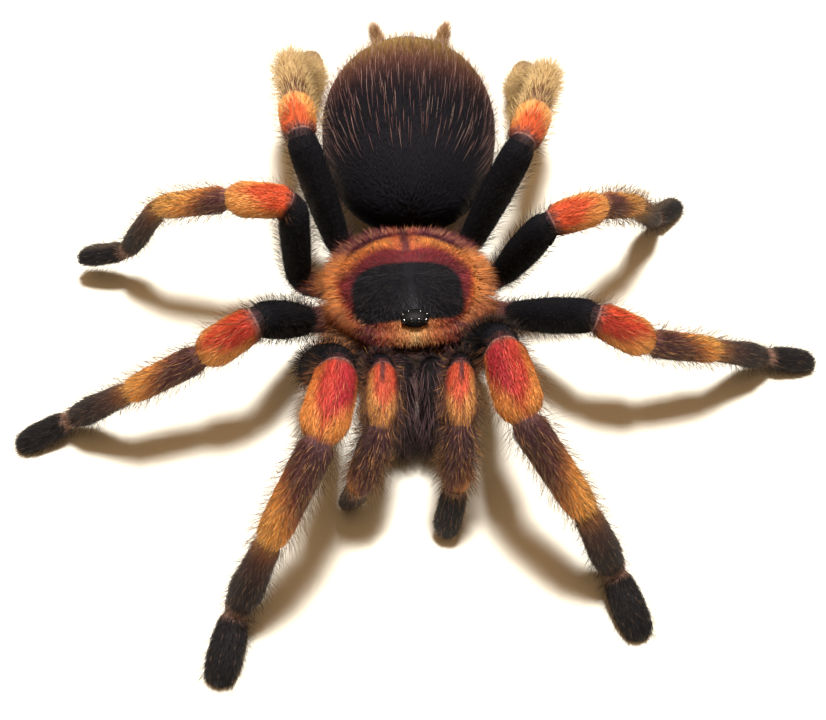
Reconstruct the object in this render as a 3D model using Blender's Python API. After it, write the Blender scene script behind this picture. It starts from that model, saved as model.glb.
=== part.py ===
"""A red-kneed tarantula, an adult female standing still, life size: the solids of its body parts.

Units are metres, +Z is up, and the spider faces -Y, so its own left is +X. The origin is on the floor, in the
middle of the ground that the spider covers. Each limb is one bent tube from hip to claw, parted by thin cuts
at its joints. The surfaces are those of the short coat, and the feet stand on small flats at floor level.
"""

import math

import bmesh
import bpy
from mathutils import Matrix, Vector

MM = 0.001
UP = Vector((0, 0, 1))

# Body, in millimetres. Positions are in the body's own frame: x across, y backwards, z above the floor.
CARAPACE_LENGTH = 20.8
CARAPACE_WIDTH = 21.0
CARAPACE_CENTRE = Vector((0, -0.6, 9.9))  # in the plane of its margin
CARAPACE_HEIGHT = 4.6
FRONT_NARROWING = 0.12
BODY_YAW = 2.0  # degrees that the carapace is turned to the spider's left
NOSE_UP = 7.0  # degrees that the carapace rises towards the eyes
STERNUM_SIZE = Vector((6.2, 8.6, 2.2))
COXA_Z = 7.2
COXA_HALF_WIDTH = 2.35
COXA_HALF_HEIGHT = 2.5
ABDOMEN_CENTRE = Vector((1.4, 27.0, 12.5))
ABDOMEN_SIZE = Vector((13.0, 16.4, 11.3))  # half width, half length, half height
FRONT_FULLNESS = 2.4  # above 2 it is blunter in front than an ellipse
ABDOMEN_TILT = 3.0  # degrees that its rear end is raised
ABDOMEN_YAW = -3.0  # degrees that its rear end is turned to the spider's left
TUBERCLE_SIZE = Vector((1.9, 1.35, 1.0))
TUBERCLE_Y = -8.0

GAP = 0.3  # between pieces that meet
EYE_GAP = 0.06
TUBERCLE_GAP = 0.1
SIDES = 12  # corners of a limb's cross-section
EYE_SIDES, EYE_ROWS = 8, 6

# Limbs. Lengths run trochanter, femur, patella, tibia, metatarsus, tarsus; a palp has no metatarsus.
LENGTHS = {
    1: (3.2, 17.6, 10.0, 13.8, 12.5, 9.0),
    2: (3.2, 15.7, 9.0, 10.9, 12.9, 8.1),
    3: (3.2, 14.0, 8.5, 10.4, 14.2, 7.9),
    4: (3.2, 18.2, 9.4, 13.1, 18.5, 9.8),
    "palp": (2.6, 12.7, 8.0, 9.2, 8.6),
}
GIRTH = {1: 1.14, 2: 1.0, 3: 0.95, 4: 1.0, "palp": 0.85}
HIPS = {
    1: (7.3, -6.3, 7.9),
    2: (10.9, -2.9, 8.0),
    3: (10.2, 2.7, 7.7),
    4: (7.4, 7.2, 7.5),
    "palp": (5.1, -9.7, 5.6),
}
# Two hips are drawn out from the usual place, across and backwards.
HIP_SHIFT = {("right", 1): (-4.2, -2.8), ("right", 3): (-2.0, 0.0)}
ANKLE_Z = 3.0
TOE_Z = 0.7
PALP_TOE_Z = 0.9

# The stance: swing is degrees back from straight sideways, lift is degrees above level, both for one segment.
# The metatarsus and tarsus get a swing only, because their lift follows from standing on the floor. The right
# third leg is held up a little, so its last two segments have a lift of their own.
STANCE = {
    ("right", 1): ((-50, 5), (-113, 57), (-76, -5), (-54, -37), -42, -75),
    ("right", 2): ((-12, 5), (-54, 51), (-17, -31), (-15, -22), 9, -20),
    ("right", 3): ((12, 5), (88, 77), (1, 5), (10, -19), (21, -61), (7, -17)),
    ("right", 4): ((50, 5), (53, 64), (85, -15), (85, -18), 108, 84),
    ("left", 1): ((-50, 5), (-86, 58), (-79, -10), (-51, -32), -32, -72),
    ("left", 2): ((-12, 5), (-40, 41), (-13, -27), (6, -21), 20, 3),
    ("left", 3): ((12, 5), (-9, 68), (22, -4), (36, -36), 49, 45),
    ("left", 4): ((50, 5), (33, 65), (70, -15), (73, -19), 102, 70),
    ("right", "palp"): ((-60, 10), (-111, 64), (-86, -9), (-59, -50), 63),
    ("left", "palp"): ((-60, 10), (-100, 64), (-94, -6), (-96, -58), -112),
}

# Cross-sections along a segment: share of its length, half width and half height, before GIRTH.
PROFILES = {
    "trochanter": ((0.0, 2.1, 2.2),),
    "femur": ((0.0, 2.0, 2.2), (0.25, 2.3, 2.6), (0.5, 2.5, 2.9), (0.8, 2.5, 2.75)),
    "patella": ((0.0, 2.25, 2.3), (0.36, 2.75, 2.7), (0.75, 2.85, 2.75)),
    "tibia": ((0.0, 2.1, 2.15), (0.2, 2.1, 2.2), (0.8, 2.05, 2.05)),
    "metatarsus": ((0.0, 1.75, 1.75), (0.2, 1.75, 1.7), (0.65, 2.2, 1.9)),
    "tarsus": ((0.0, 1.6, 1.45), (0.3, 2.05, 1.6), (0.65, 2.15, 1.55), (0.9, 1.8, 1.25), (1.0, 1.25, 0.9)),
    "palp_femur": ((0.0, 1.8, 1.9), (0.3, 2.05, 2.3), (0.6, 2.15, 2.45), (0.85, 2.3, 2.45)),
    "palp_tibia": ((0.0, 2.3, 2.2), (0.35, 2.6, 2.5), (0.8, 2.5, 2.3)),
    "palp_tarsus": ((0.0, 2.0, 1.9), (0.3, 2.35, 2.0), (0.75, 2.4, 1.8), (1.0, 1.5, 1.1)),
}

COLOURS = {  # base colour, roughness
    "black_velvet": ((0.012, 0.011, 0.012), 0.9),
    "knee_orange": ((0.75, 0.20, 0.05), 0.8),
    "shin_brown": ((0.30, 0.13, 0.06), 0.8),
    "foot_brown": ((0.045, 0.033, 0.030), 0.85),
    "carapace_fur": ((0.42, 0.17, 0.07), 0.75),
    "under_brown": ((0.05, 0.035, 0.03), 0.85),
    "abdomen_fur": ((0.022, 0.018, 0.018), 0.85),
    "jaw_fur": ((0.06, 0.045, 0.045), 0.8),
    "fang_black": ((0.015, 0.008, 0.006), 0.2),
    "eye_black": ((0.004, 0.004, 0.005), 0.05),
    "spinneret_tan": ((0.38, 0.24, 0.14), 0.8),
}


def material(slot):
    """The plain finish of a slot, made the first time that it is asked for."""
    found = bpy.data.materials.get(slot)
    if found:
        return found
    colour, roughness = COLOURS[slot]
    made = bpy.data.materials.new(slot)
    made.use_nodes = True
    shader = made.node_tree.nodes["Principled BSDF"]
    shader.inputs["Base Color"].default_value = (*colour, 1)
    shader.inputs["Roughness"].default_value = roughness
    shader.inputs["Metallic"].default_value = 0
    return made


def add_object(name, bm, slot, parent):
    """A bmesh in millimetres becomes a named, smooth-shaded object in metres."""
    bmesh.ops.recalc_face_normals(bm, faces=bm.faces)
    bmesh.ops.scale(bm, vec=Vector((MM, MM, MM)), verts=bm.verts)
    mesh = bpy.data.meshes.new(name)
    bm.to_mesh(mesh)
    bm.free()
    mesh.shade_smooth()
    mesh.set_sharp_from_angle(angle=math.radians(50))
    obj = bpy.data.objects.new(name, mesh)
    obj.data.materials.append(material(slot))
    bpy.context.scene.collection.objects.link(obj)
    obj.parent = parent
    return obj


def loft(bm, stations, sides=SIDES):
    """A closed tube through stations of (centre, axis, half width, half height), with flat ends."""
    rings = []
    for centre, axis, half_width, half_height in stations:
        axis = axis.normalized()
        across = axis.cross(UP).normalized()
        above = across.cross(axis)
        ring = []
        for i in range(sides):
            angle = math.tau * (i + 0.5) / sides
            offset = across * half_width * math.cos(angle) + above * half_height * math.sin(angle)
            ring.append(bm.verts.new(centre + offset))
        rings.append(ring)
    for near, far in zip(rings, rings[1:]):
        for i in range(sides):
            j = (i + 1) % sides
            bm.faces.new((near[i], near[j], far[j], far[i]))
    bm.faces.new(rings[0])
    bm.faces.new(rings[-1])


def heading(side, swing, lift):
    """The direction of a segment that swings back from sideways and lifts from level, in degrees."""
    outward = 1 if side == "left" else -1
    swing, lift = math.radians(swing), math.radians(lift)
    level = math.cos(lift)
    return Vector((outward * level * math.cos(swing), level * math.sin(swing), math.sin(lift)))


def lift_to(height, length):
    """The lift, in degrees, of a segment of this length that ends this much higher than it starts."""
    return math.degrees(math.asin(max(-0.99, min(0.99, height / length))))


def limb_joints(side, limb):
    """The joints of a limb, from hip to claw. The last two segments come down to stand on the floor."""
    x, y, z = HIPS[limb]
    across, back = HIP_SHIFT.get((side, limb), (0, 0))
    joints = [Vector(((x if side == "left" else -x) + across, y + back, z))]
    lengths = LENGTHS[limb]
    stance = STANCE[side, limb]
    steps = [s if isinstance(s, tuple) else (s, None) for s in stance]
    for number, (swing, lift) in enumerate(steps):
        if lift is None:
            last = number == len(steps) - 1
            toe = PALP_TOE_Z if limb == "palp" else TOE_Z
            lift = lift_to((toe if last else ANKLE_Z) - joints[-1].z, lengths[number])
        joints.append(joints[-1] + heading(side, swing, lift) * lengths[number])
    return joints


def segment_names(limb):
    """The limb's segments from the hip outwards."""
    if limb == "palp":
        return ("trochanter", "palp_femur", "patella", "palp_tibia", "palp_tarsus")
    return ("trochanter", "femur", "patella", "tibia", "metatarsus", "tarsus")


def limb_stations(side, limb):
    """For each segment of a limb its stations. The section at each joint is mitred and shared."""
    joints = limb_joints(side, limb)
    names = segment_names(limb)
    girth = GIRTH[limb]
    axes = [(b - a).normalized() for a, b in zip(joints, joints[1:])]
    sections = []
    for number, name in enumerate(names):
        start, axis = joints[number], axes[number]
        length = (joints[number + 1] - start).length
        section = []
        for share, half_width, half_height in PROFILES[name]:
            tangent = axis
            if share == 0 and number:
                tangent = (axes[number - 1] + axis).normalized()
                half_height /= tangent.dot(axis)
            centre = start + axis * length * share
            section.append((centre, tangent, half_width * girth, half_height * girth))
        sections.append(section)
    return sections


def moved(station, distance):
    """The same section, slid along its own axis."""
    centre, axis, half_width, half_height = station
    return (centre + axis.normalized() * distance, axis, half_width, half_height)


def build_limb(side, limb, parent):
    """One limb as nodes that meet at mitred cuts. A node covers one segment, or two that share a name."""
    sections = limb_stations(side, limb)
    prefix = f"palp_{side}" if limb == "palp" else f"leg{limb}_{side}"
    if limb == "palp":
        groups = (("femur", 0, 2, "black_velvet"), ("patella", 2, 3, "knee_orange"),
                  ("tibia", 3, 4, "shin_brown"), ("tarsus", 4, 5, "foot_brown"))
    else:
        groups = (("femur", 0, 2, "black_velvet"), ("patella", 2, 3, "knee_orange"),
                  ("tibia", 3, 4, "shin_brown"), ("foot", 4, 6, "foot_brown"))
    for name, first, last, slot in groups:
        stations = [station for section in sections[first:last] for station in section]
        stations[0] = moved(stations[0], GAP / 2)
        if last < len(sections):
            stations.append(moved(sections[last][0], -GAP / 2))
        bm = bmesh.new()
        loft(bm, stations)
        if last == len(sections):
            bmesh.ops.recalc_face_normals(bm, faces=bm.faces)
            flatten_sole(bm)
        add_object(f"{prefix}_{name}", bm, slot, parent)


def flatten_sole(bm):
    """Cuts away what lies under the floor and closes the cut, which leaves a small flat to stand on."""
    everything = bm.verts[:] + bm.edges[:] + bm.faces[:]
    floor = {"plane_co": (0, 0, 0), "plane_no": (0, 0, 1)}
    cut = bmesh.ops.bisect_plane(bm, geom=everything, clear_inner=True, **floor)
    edges = [e for e in cut["geom_cut"] if isinstance(e, bmesh.types.BMEdge)]
    if edges:
        bmesh.ops.edgeloop_fill(bm, edges=edges)


def ball(bm, centre, size, sides=16, rows=10, turn=None):
    """An ellipsoid with the given half sizes, turned about its own centre. Returns its vertices."""
    place = Matrix.Translation(centre) @ (turn or Matrix()) @ Matrix.Diagonal((*size, 1))
    made = bmesh.ops.create_uvsphere(bm, u_segments=sides, v_segments=rows, radius=1, matrix=place)
    return made["verts"]


def smooth_step(low, high, value):
    """0 below low, 1 above high, and an S-shaped rise between."""
    t = max(0.0, min(1.0, (value - low) / (high - low)))
    return t * t * (3 - 2 * t)


def carapace_pose():
    """The tilt and turn of the carapace and of all that it carries, about the middle of its margin."""
    turn = Matrix.Rotation(math.radians(BODY_YAW), 4, "Z") @ Matrix.Rotation(math.radians(-NOSE_UP), 4, "X")
    return Matrix.Translation(CARAPACE_CENTRE) @ turn


def signed_power(value, exponent):
    """A power that keeps the sign of its base."""
    return math.copysign(abs(value) ** exponent, value)


def carapace_margin(angle):
    """The carapace's edge: an oval with a squarer front, which is also narrower."""
    c, s = math.cos(angle), math.sin(angle)
    bluntness = 2 / (2.2 if s > 0 else 3.0)
    y = signed_power(s, bluntness)
    x = signed_power(c, bluntness) * (1 - FRONT_NARROWING * smooth_step(-0.1, 1.0, -y))
    return x * CARAPACE_WIDTH / 2, y * CARAPACE_LENGTH / 2


def carapace_height(share, x, y):
    """Height over the margin: a low dome with a raised head, for this share of the way from crown to edge."""
    dome = CARAPACE_HEIGHT * math.sqrt(max(0.0, 1 - share ** 2.6))
    head = 1 + 0.16 * smooth_step(-0.1, 0.6, -2 * y / CARAPACE_LENGTH) * math.exp(-((x / 5.5) ** 2))
    fovea = 0.5 * math.exp(-((x / 1.3) ** 2 + ((y - 4.6) / 1.2) ** 2))
    return dome * head - fovea * (1 - share ** 4)


def build_carapace(parent):
    """The shield over the front half of the body: rings from its margin up to the crown, on a flat base."""
    bm = bmesh.new()
    around, rows = 32, 6
    rings = []
    for row in range(rows):
        share = math.cos(0.5 * math.pi * row / rows)
        ring = []
        for i in range(around):
            x, y = (share * v for v in carapace_margin(math.tau * i / around))
            ring.append(bm.verts.new((x, y, carapace_height(share, x, y))))
        rings.append(ring)
    for low, high in zip(rings, rings[1:]):
        for i in range(around):
            j = (i + 1) % around
            bm.faces.new((low[i], low[j], high[j], high[i]))
    crown = bm.verts.new((0, 0, carapace_height(0, 0, 0)))
    for i in range(around):
        bm.faces.new((rings[-1][i], rings[-1][(i + 1) % around], crown))
    bm.faces.new(rings[0][::-1])
    bmesh.ops.transform(bm, matrix=carapace_pose(), verts=bm.verts)
    carapace = add_object("carapace", bm, "carapace_fur", parent)
    carve(carapace, "tubercle_seat", lambda cutter: tubercle_shape(cutter, TUBERCLE_GAP), parent)


def tubercle_centre():
    """The middle of the eye mound, at the carapace's surface."""
    share = -2 * TUBERCLE_Y / CARAPACE_LENGTH
    return carapace_pose() @ Vector((0, TUBERCLE_Y, carapace_height(share, 0, TUBERCLE_Y) + 0.1))


def tubercle_shape(bm, swelling=0.0):
    """The low oval mound that carries the eyes."""
    ball(bm, tubercle_centre(), TUBERCLE_SIZE + Vector((swelling,) * 3), 16, 8)


def carve(target, name, shape, parent):
    """Cuts a shape out of a piece, with a hidden cutter and a live Boolean."""
    bm = bmesh.new()
    shape(bm)
    cutter = add_object(name, bm, "under_brown", parent)
    cutter.hide_render = True
    cutter.display_type = "WIRE"
    cut = target.modifiers.new(name, "BOOLEAN")
    cut.operation = "DIFFERENCE"
    cut.solver = "EXACT"
    cut.object = cutter


# Eyes: place on the mound as degrees round it from straight ahead and degrees up its side, and radius.
EYES = {
    "front_inner": (24, 48, 0.36),
    "front_outer": (60, 20, 0.38),
    "rear_outer": (104, 24, 0.34),
    "rear_inner": (134, 52, 0.26),
}


def eye_centre(side, around, above, radius):
    """The middle of an eye, sunk by half its radius into the mound."""
    outward = 1 if side == "left" else -1
    around, above = math.radians(around), math.radians(above)
    level = math.cos(above)
    way = Vector((outward * math.sin(around) * level, -math.cos(around) * level, math.sin(above)))
    surface = Vector(way[i] * TUBERCLE_SIZE[i] for i in range(3))
    return tubercle_centre() + surface - way * radius * 0.35


def build_eyes(parent):
    """The eye mound, with a socket cut for each of the eight eyes, and the eyes themselves."""
    bm = bmesh.new()
    tubercle_shape(bm)
    mound = add_object("eye_mound", bm, "under_brown", parent)

    def sockets(cutter):
        for side in ("left", "right"):
            for around, above, radius in EYES.values():
                size = Vector((radius + EYE_GAP,) * 3)
                ball(cutter, eye_centre(side, around, above, radius), size, EYE_SIDES, EYE_ROWS)

    carve(mound, "eye_sockets", sockets, parent)
    for side in ("left", "right"):
        for name, (around, above, radius) in EYES.items():
            bm = bmesh.new()
            size = Vector((radius,) * 3)
            ball(bm, eye_centre(side, around, above, radius), size, EYE_SIDES, EYE_ROWS)
            add_object(f"eye_{name}_{side}", bm, "eye_black", parent)


def build_under_body(parent):
    """The breastplate with the ten hip segments round it, joined into one piece under the carapace."""
    bm = bmesh.new()
    ball(bm, Vector((0, 0, COXA_Z - 0.6)), STERNUM_SIZE, 16, 8)
    base = add_object("sternum_hips", bm, "under_brown", parent)
    for side in ("left", "right"):
        for limb in HIPS:
            bm = bmesh.new()
            hip = limb_joints(side, limb)[0]
            inner = Vector((hip.x * 0.28, hip.y * 0.45, COXA_Z))
            axis = hip - inner
            scale = GIRTH[limb] ** 0.5
            end = limb_stations(side, limb)[0][0]
            loft(bm, [
                (inner, axis, COXA_HALF_WIDTH * 0.7 * scale, COXA_HALF_HEIGHT * 0.7),
                (inner.lerp(hip, 0.5), axis, COXA_HALF_WIDTH * scale, COXA_HALF_HEIGHT),
                moved((hip, end[1], end[2] * 1.02, end[3] * 0.98), -GAP / 2),
            ])
            coxa = add_object(f"coxa_{limb}_{side}", bm, "under_brown", parent)
            coxa.hide_render = True
            coxa.display_type = "WIRE"
            join = base.modifiers.new(coxa.name, "BOOLEAN")
            join.operation = "UNION"
            join.solver = "EXACT"
            join.object = coxa
    carve(base, "carapace_floor", carapace_floor, parent)
    carve(base, "waist_seat_front", lambda cutter: waist_shape(cutter, GAP), parent)


def carapace_floor(bm):
    """A block whose underside is the plane just below the carapace."""
    reach, depth = 40.0, 12.0
    place = Matrix.Translation((0, 0, depth / 2 - GAP)) @ Matrix.Diagonal((reach, reach, depth, 1))
    bmesh.ops.create_cube(bm, size=1, matrix=carapace_pose() @ place)


def build_jaws(parent):
    """The two basal jaw segments, side by side under the carapace's front, and their folded fangs."""
    for side in ("left", "right"):
        out = 1 if side == "left" else -1
        stations = (
            (Vector((0.2 + out * 2.1, -11.5, 8.9)), Vector((0, -1, 0.1)), 1.6, 1.9),
            (Vector((0.2 + out * 2.2, -12.8, 9.2)), Vector((0, -1, -0.1)), 1.95, 2.7),
            (Vector((0.2 + out * 2.25, -15.8, 8.8)), Vector((0, -1, -0.5)), 2.05, 3.1),
            (Vector((0.3 + out * 2.3, -18.6, 6.8)), Vector((0, -0.7, -1.0)), 2.1, 2.9),
            (Vector((0.3 + out * 2.2, -19.9, 4.4)), Vector((0, -0.15, -1.0)), 1.7, 1.9),
        )
        bm = bmesh.new()
        loft(bm, stations)
        add_object(f"jaw_{side}", bm, "jaw_fur", parent)
        bm = bmesh.new()
        fang = []
        for step in range(7):
            bend = math.radians(10 + 95 * step / 6)
            reach = 4.4
            inward = out * (2.3 - 0.15 * step)
            back = -19.9 + 0.9 * reach * (1 - math.cos(bend))
            centre = Vector((0.3 + inward, back, 4.3 - 0.72 * reach * math.sin(bend)))
            axis = Vector((0, math.sin(bend), -math.cos(bend)))
            fang.append((centre, axis, 0.95 * (1 - step / 6.6), 0.85 * (1 - step / 6.6)))
        loft(bm, fang, 8)
        add_object(f"fang_{side}", bm, "fang_black", parent)


def abdomen_pose():
    """The tilt and turn of the abdomen about its own middle."""
    yaw = Matrix.Rotation(math.radians(ABDOMEN_YAW), 4, "Z")
    return Matrix.Translation(ABDOMEN_CENTRE) @ yaw @ Matrix.Rotation(math.radians(ABDOMEN_TILT), 4, "X")


def waist_shape(bm, swelling=0.0):
    """The short stalk between the two halves of the body."""
    back = Vector((0.06, 1, 0.23))
    half_width, half_height = 1.5 + swelling, 1.1 + swelling
    start, end = Vector((0, 8.0, 6.4)), Vector((0.4, 14.0, 7.8))
    loft(bm, [(start, back, half_width, half_height), (end, back, half_width * 0.9, half_height * 0.9)])


def spinneret_shape(bm, out, swelling=0.0):
    """One of the two long spinnerets, three short tubes that taper and curve upwards."""
    root, reach = Vector((2.7 + out * 3.0, 41.0, 9.2)), 9.2
    stations = []
    joints = ((0.0, 1.1), (0.3, 1.15), (0.36, 0.95), (0.64, 0.95), (0.7, 0.75), (0.94, 0.6), (1.0, 0.35))
    for share, radius in joints:
        bend = math.radians(12 + 24 * share)
        axis = Vector((out * 0.3, math.cos(bend), math.sin(bend)))
        radius += swelling
        stations.append((root + axis * share * reach, axis, radius, radius))
    loft(bm, stations, 10)


def build_abdomen(parent):
    """The abdomen, a full egg that is widest behind its middle, with its waist and two long spinnerets."""
    bm = bmesh.new()
    # The poles lie fore and aft, so that the rows run round the egg.
    upright = Matrix.Rotation(math.pi / 2, 4, "X")
    made = bmesh.ops.create_uvsphere(bm, u_segments=28, v_segments=16, radius=1, matrix=upright)
    for vert in made["verts"]:
        x, y, z = vert.co
        fullness = 1 + 0.05 * y
        if -0.999 < y < 0:
            fullness *= (1 - abs(y) ** FRONT_FULLNESS) ** (1 / FRONT_FULLNESS) / math.sqrt(1 - y * y)
        belly = 0.9 if z < 0 else 1.0
        x *= ABDOMEN_SIZE.x * fullness
        z *= ABDOMEN_SIZE.z * fullness * belly
        vert.co = abdomen_pose() @ Vector((x, y * ABDOMEN_SIZE.y, z))
    abdomen = add_object("abdomen", bm, "abdomen_fur", parent)
    carve(abdomen, "waist_seat", lambda cutter: waist_shape(cutter, GAP), parent)
    bm = bmesh.new()
    waist_shape(bm)
    add_object("waist", bm, "under_brown", parent)
    for side in ("left", "right"):
        out = 1 if side == "left" else -1
        carve(abdomen, f"seat_{side}", lambda cutter, out=out: spinneret_shape(cutter, out, GAP), parent)
        bm = bmesh.new()
        spinneret_shape(bm, out)
        add_object(f"spinneret_{side}", bm, "spinneret_tan", parent)


def centre_on_floor(parent):
    """Moves the whole spider so that the origin is in the middle of the ground that it covers."""
    bpy.context.view_layer.update()
    shown = [o for o in bpy.context.scene.objects if o.type == "MESH" and not o.hide_render]
    corners = [o.matrix_world @ vert.co for o in shown for vert in o.data.vertices]
    for axis in range(2):
        values = [corner[axis] for corner in corners]
        parent.location[axis] = -(min(values) + max(values)) / 2


def main():
    for obj in list(bpy.data.objects):
        bpy.data.objects.remove(obj)
    spider = bpy.data.objects.new("tarantula", None)
    bpy.context.scene.collection.objects.link(spider)
    build_carapace(spider)
    build_eyes(spider)
    build_under_body(spider)
    build_jaws(spider)
    build_abdomen(spider)
    for side, limb in STANCE:
        build_limb(side, limb, spider)
    centre_on_floor(spider)


main()
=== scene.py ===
"""A red-kneed tarantula, life size: one skin, a head shield, eyes and fangs under a coat of solid hairs."""

import math
from types import SimpleNamespace

import bpy
import numpy as np
from mathutils import Matrix


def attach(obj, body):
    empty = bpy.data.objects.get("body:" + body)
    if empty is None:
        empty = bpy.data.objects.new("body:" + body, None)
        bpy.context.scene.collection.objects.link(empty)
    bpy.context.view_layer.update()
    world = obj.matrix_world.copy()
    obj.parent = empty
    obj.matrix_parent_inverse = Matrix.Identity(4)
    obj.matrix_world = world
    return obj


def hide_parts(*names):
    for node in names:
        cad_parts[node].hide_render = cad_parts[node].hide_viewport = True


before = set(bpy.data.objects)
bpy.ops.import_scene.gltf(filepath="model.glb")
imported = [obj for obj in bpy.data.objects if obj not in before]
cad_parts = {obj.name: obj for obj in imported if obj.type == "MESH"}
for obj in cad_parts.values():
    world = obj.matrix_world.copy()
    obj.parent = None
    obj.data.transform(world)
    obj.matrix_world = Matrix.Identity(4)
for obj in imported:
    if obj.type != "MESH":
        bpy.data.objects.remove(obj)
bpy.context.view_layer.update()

# ---
# The limbs. Eight legs and two palps, each a chain of jointed tubes of horny skin from hip to claw. The joints are
# set by a length, a swing and a lift for each segment, and the last two segments come down to stand on the floor.
MM = 0.001
ON_FLOOR = np.array([-2.381, -2.938, 0])  # from the body's own middle to the middle of the ground it covers
UP = np.array([0, 0, 1])
STEP = 0.25  # between the stations of a tube
COAT_DEPTH = 0.34
COXA_Z = 7.2
COXA = (2.35, 2.5)
ANKLE_Z = 3
TOE_Z = 0.7
PALP_TOE_Z = 0.9
TOE_FLOOR = 0.05  # no skin comes lower
TOE_ROUND = 1.3
INNER_END = (0.28, 0.45)  # of the hip's x and y, inside the breastplate
LIMB_EASE = 2.2
PINCHES, PINCH_WIDTH = (0.1, 0.17, 0.2, 0.17, 0.17), 0.75
SIDES = {"left": 1, "right": -1}
LENGTHS = {  # trochanter, femur, patella, tibia, metatarsus, tarsus; a palp has no metatarsus
    1: (3.2, 17.6, 10, 13.8, 12.5, 9),
    2: (3.2, 15.7, 9, 10.9, 12.9, 8.1),
    3: (3.2, 14, 8.5, 10.4, 14.2, 7.9),
    4: (3.2, 18.2, 9.4, 13.1, 18.5, 9.8),
    "palp": (2.6, 12.7, 8, 9.2, 8.6),
}
GIRTH = {1: 1.14, 2: 1, 3: 0.95, 4: 1, "palp": 0.85}
HIPS = {
    1: (7.3, -6.3, 7.9),
    2: (10.9, -2.9, 8),
    3: (10.2, 2.7, 7.7),
    4: (7.4, 7.2, 7.5),
    "palp": (5.1, -9.7, 5.6),
}
HIP_SHIFT = {("right", 1): (-4.2, -2.8, 0), ("right", 3): (-2, 0, 0)}
STANCE = {  # swing back from sideways and lift from level, in degrees; a lone swing comes down to the floor
    ("right", 1): ((-50, 5), (-113, 57), (-76, -5), (-54, -37), -42, -75),
    ("right", 2): ((-12, 5), (-54, 51), (-17, -31), (-15, -22), 9, -20),
    ("right", 3): ((12, 5), (88, 77), (1, 5), (10, -19), (21, -61), (7, -17)),
    ("right", 4): ((50, 5), (53, 64), (85, -15), (85, -18), 108, 84),
    ("left", 1): ((-50, 5), (-86, 58), (-79, -10), (-51, -32), -32, -72),
    ("left", 2): ((-12, 5), (-40, 41), (-13, -27), (6, -21), 20, 3),
    ("left", 3): ((12, 5), (-9, 68), (22, -4), (36, -36), 49, 45),
    ("left", 4): ((50, 5), (33, 65), (70, -15), (73, -19), 102, 70),
    ("right", "palp"): ((-60, 10), (-111, 64), (-86, -9), (-59, -50), 63),
    ("left", "palp"): ((-60, 10), (-100, 64), (-94, -6), (-96, -58), -112),
}
SEGMENTS = ("trochanter", "femur", "patella", "tibia", "metatarsus", "tarsus")
PALP_SEGMENTS = ("trochanter", "palp_femur", "patella", "palp_tibia", "palp_tarsus")
PROFILES = {  # share of the length, half width, half height
    "trochanter": ((0, 2.1, 2.2),),
    "femur": ((0, 2, 2.2), (0.25, 2.3, 2.6), (0.5, 2.5, 2.9), (0.8, 2.5, 2.75)),
    "patella": ((0, 2.25, 2.3), (0.36, 2.75, 2.7), (0.75, 2.85, 2.75)),
    "tibia": ((0, 2.1, 2.15), (0.2, 2.1, 2.2), (0.8, 2.05, 2.05)),
    "metatarsus": ((0, 1.75, 1.75), (0.2, 1.75, 1.7), (0.65, 2.2, 1.9)),
    "tarsus": ((0, 1.6, 1.45), (0.3, 2.05, 1.6), (0.65, 2.15, 1.55), (0.9, 1.8, 1.25), (1, 1.25, 0.9)),
    "palp_femur": ((0, 1.8, 1.9), (0.3, 2.05, 2.3), (0.6, 2.15, 2.45), (0.85, 2.3, 2.45)),
    "palp_tibia": ((0, 2.3, 2.2), (0.35, 2.6, 2.5), (0.8, 2.5, 2.3)),
    "palp_tarsus": ((0, 2, 1.9), (0.3, 2.35, 2), (0.75, 2.4, 1.8), (1, 1.5, 1.1)),
}
REDNESS = {1: 1, 2: 0.75, 3: 0.35, 4: 0, "palp": 0.55}


def unit(arrows):
    """Each arrow over its own length."""
    return arrows / np.maximum(np.linalg.norm(arrows, axis=-1, keepdims=True), 1e-9)


def distances(path):
    """How far along its straight runs each point of a path lies."""
    return np.append(0, np.cumsum(np.linalg.norm(np.diff(path, axis=0), axis=1)))


def limb_joints(side, limb):
    """Each joint is the one before plus the length along (out cos lift cos swing, cos lift sin swing, sin lift).
    With only a swing given, the sine of the lift is the drop to ankle or toe over the length."""
    out = SIDES[side]
    joints = [np.array(HIPS[limb]) * (out, 1, 1) + HIP_SHIFT.get((side, limb), 0)]
    stance = STANCE[side, limb]
    for number, (length, step) in enumerate(zip(LENGTHS[limb], stance)):
        if isinstance(step, tuple):
            swing, lift = np.radians(step)
        else:
            toe = PALP_TOE_Z if limb == "palp" else TOE_Z
            floor = toe if number == len(stance) - 1 else ANKLE_Z
            swing, lift = math.radians(step), math.asin(max(-0.99, min(0.99, (floor - joints[-1][2]) / length)))
        way = (out * math.cos(lift) * math.cos(swing), math.cos(lift) * math.sin(swing), math.sin(lift))
        joints.append(joints[-1] + length * np.array(way))
    return np.array(joints)


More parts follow.
